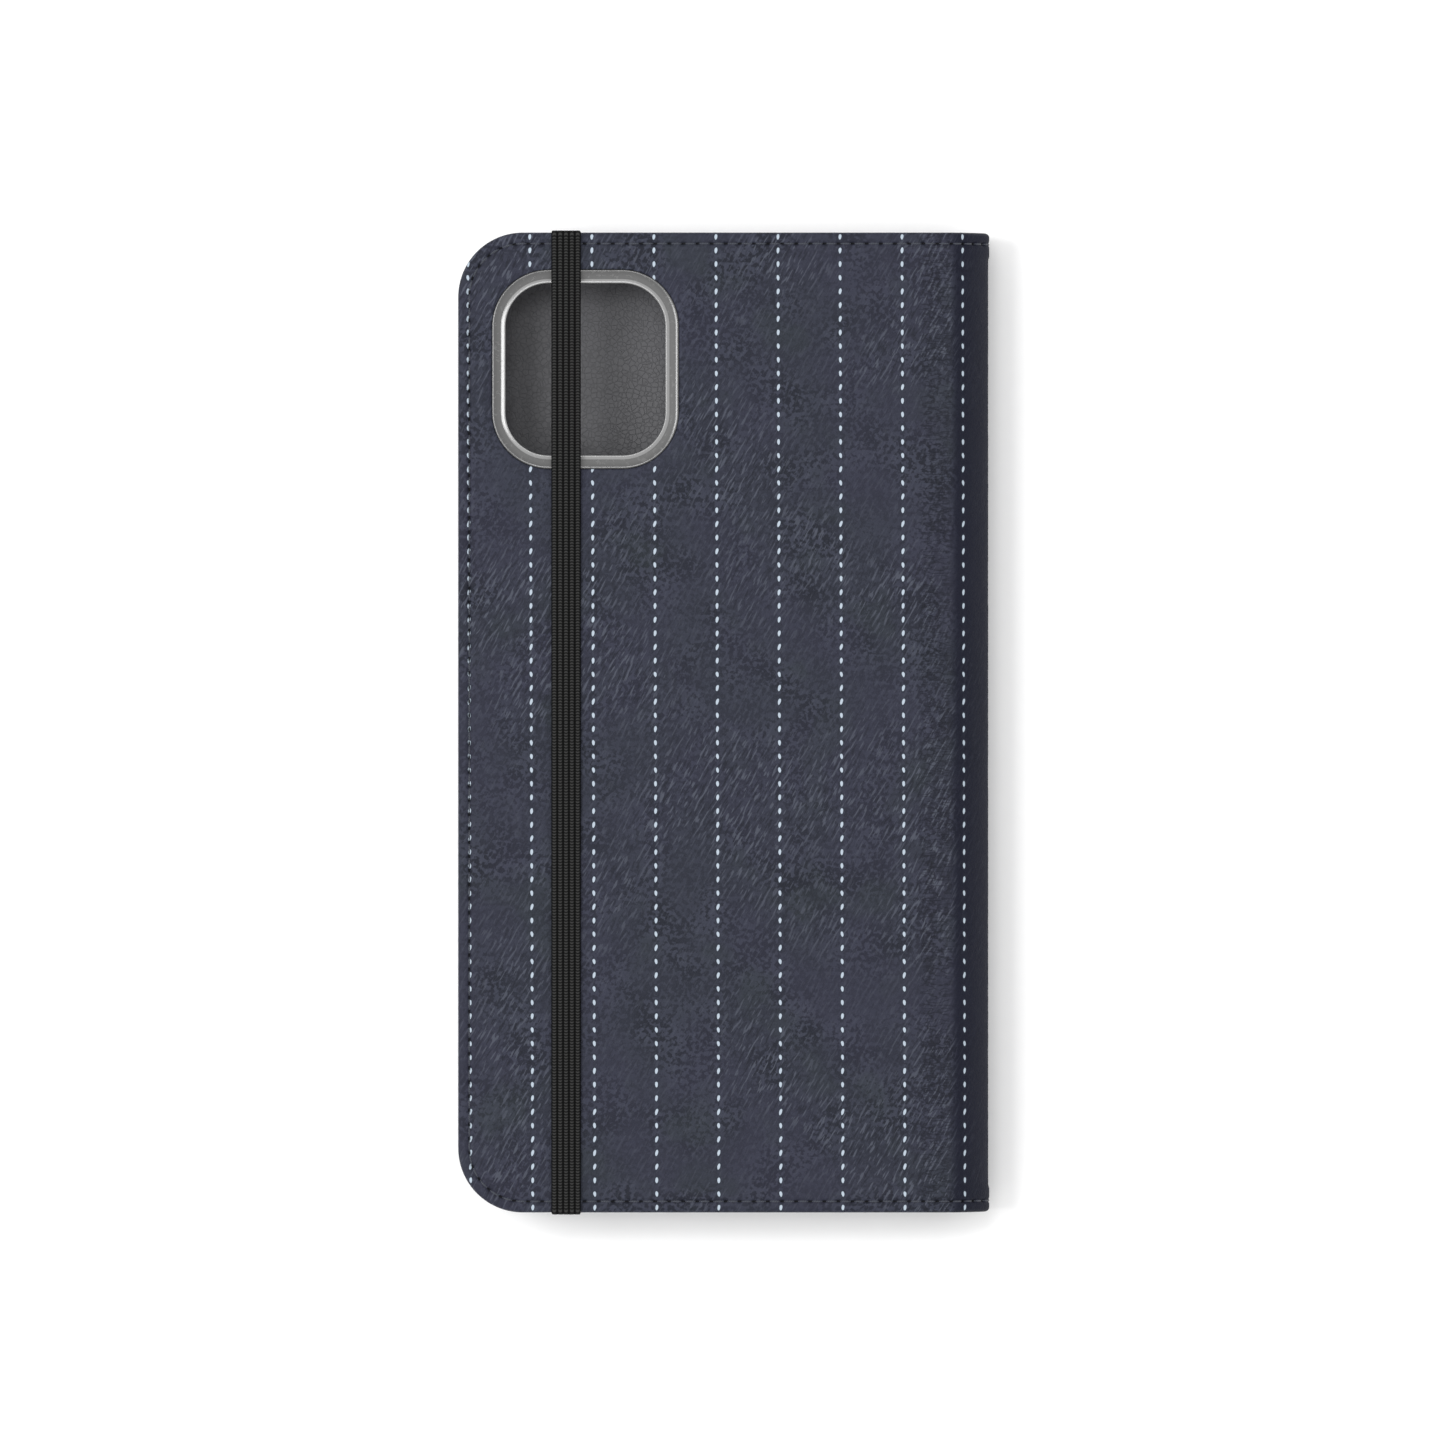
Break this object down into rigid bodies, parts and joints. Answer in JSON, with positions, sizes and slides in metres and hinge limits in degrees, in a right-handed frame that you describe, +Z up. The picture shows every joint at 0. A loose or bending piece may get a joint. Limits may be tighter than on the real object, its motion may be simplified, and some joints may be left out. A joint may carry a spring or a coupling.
{
  "type": "phone wallet case",
  "caption": "Folio wallet case for a large phone: printed leather covers folding at a stiff spine, snap-in tray, camera window, card and cash pockets and an elastic band.",
  "frame": {"origin": "centre of the closed case's footprint, on the surface that the front cover lies on", "axes": "+X from the free edge to the spine, +Y along the spine to the camera end, +Z up through the layers to the back cover"},
  "size_m": [0.0906, 0.1676, 0.0189],
  "materials": {
    "printed_leather": "matte",
    "fibre_board": "matte",
    "lining": "matte",
    "pocket_leather": "satin",
    "thread": "matte",
    "tray_plastic": "satin",
    "bezel_plastic": "satin",
    "adhesive": "matte",
    "elastic": "matte"
  },
  "bodies": {
    "front_cover": {"front_skin": "printed_leather", "front_board": "fibre_board", "front_lining": "lining", "front_stitching": "thread", "cash_pocket": "pocket_leather", "card_pocket_inner": "pocket_leather", "card_pocket_middle": "pocket_leather", "card_pocket_outer": "pocket_leather", "pocket_stitching": "thread"},
    "spine": {"spine_skin": "printed_leather", "spine_board": "fibre_board", "spine_lining": "lining", "spine_stitching": "thread"},
    "back_cover": {"back_skin": "printed_leather", "back_board": "fibre_board", "back_lining": "lining", "back_stitching": "thread", "tray_adhesive": "adhesive", "phone_tray": "tray_plastic", "camera_bezel": "bezel_plastic", "band_end_top": "elastic", "band_end_bottom": "elastic", "band_tacks": "thread"},
    "band": {"elastic_band": "elastic"}
  },
  "joints": [
    {"name": "front_fold", "type": "hinge", "parent": "front_cover", "child": "spine", "pos_m": [0.04398, 0, 0.00133], "axis": [0, 1, 0], "range_deg": [0, 90]},
    {"name": "back_fold", "type": "hinge", "parent": "spine", "child": "back_cover", "pos_m": [0.04398, 0, 0.01667], "axis": [0, 1, 0], "range_deg": [0, 90]},
    {"name": "band_stretch", "type": "slide", "parent": "back_cover", "child": "band", "axis": [0, 0, 1], "range_m": [0, 0.015], "stiffness_N_per_m": 40}
  ]
}
